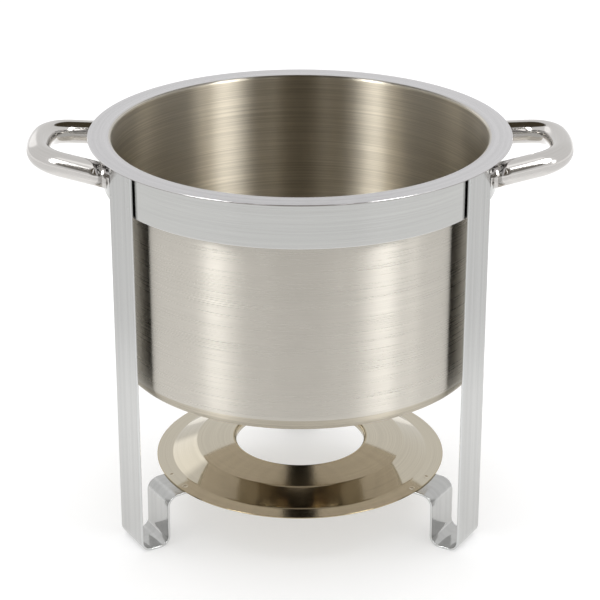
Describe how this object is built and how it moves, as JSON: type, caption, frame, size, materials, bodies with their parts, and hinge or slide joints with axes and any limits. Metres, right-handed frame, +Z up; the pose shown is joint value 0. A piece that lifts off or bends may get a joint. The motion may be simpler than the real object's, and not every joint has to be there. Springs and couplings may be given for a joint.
{
  "type": "soup kettle",
  "caption": "Deep round water pan with a flat rim, hung in a three-legged band stand with two tube handles and a raised burner plate.",
  "frame": {"origin": "on the floor at the centre of the stand, under the middle of the pan", "axes": "+Z up; X through the two handles, +X to the right-hand one; -Y is the front, between two legs; the third leg stands at +Y"},
  "size_m": [0.4638, 0.36, 0.351],
  "materials": {
    "pan_steel": "brushed round the wall, satin rim",
    "band_steel": "polished band",
    "leg_steel": "satin polished strip, fine lengthwise grain",
    "handle_steel": "mirror polished tube",
    "collar_steel": "polished, dull at the edges",
    "plate_steel": "polished, warm bronze tone",
    "fixing_steel": "plain turned"
  },
  "bodies": {
    "stand": {"support_ring": "band_steel", "burner_plate": "plate_steel", "leg_left": "leg_steel", "leg_right": "leg_steel", "leg_rear": "leg_steel", "handle_left": "handle_steel", "handle_right": "handle_steel", "handle_collar_left_front": "collar_steel", "handle_plug_left_front": "fixing_steel", "handle_screw_left_front": "fixing_steel", "handle_collar_left_rear": "collar_steel", "handle_plug_left_rear": "fixing_steel", "handle_screw_left_rear": "fixing_steel", "handle_collar_right_front": "collar_steel", "handle_plug_right_front": "fixing_steel", "handle_screw_right_front": "fixing_steel", "handle_collar_right_rear": "collar_steel", "handle_plug_right_rear": "fixing_steel", "handle_screw_right_rear": "fixing_steel"},
    "pan": {"water_pan": "pan_steel"}
  },
  "joints": [
    {"name": "pan_lift", "type": "slide", "parent": "stand", "child": "pan", "axis": [0, 0, 1], "range_m": [0, 0.23]}
  ]
}
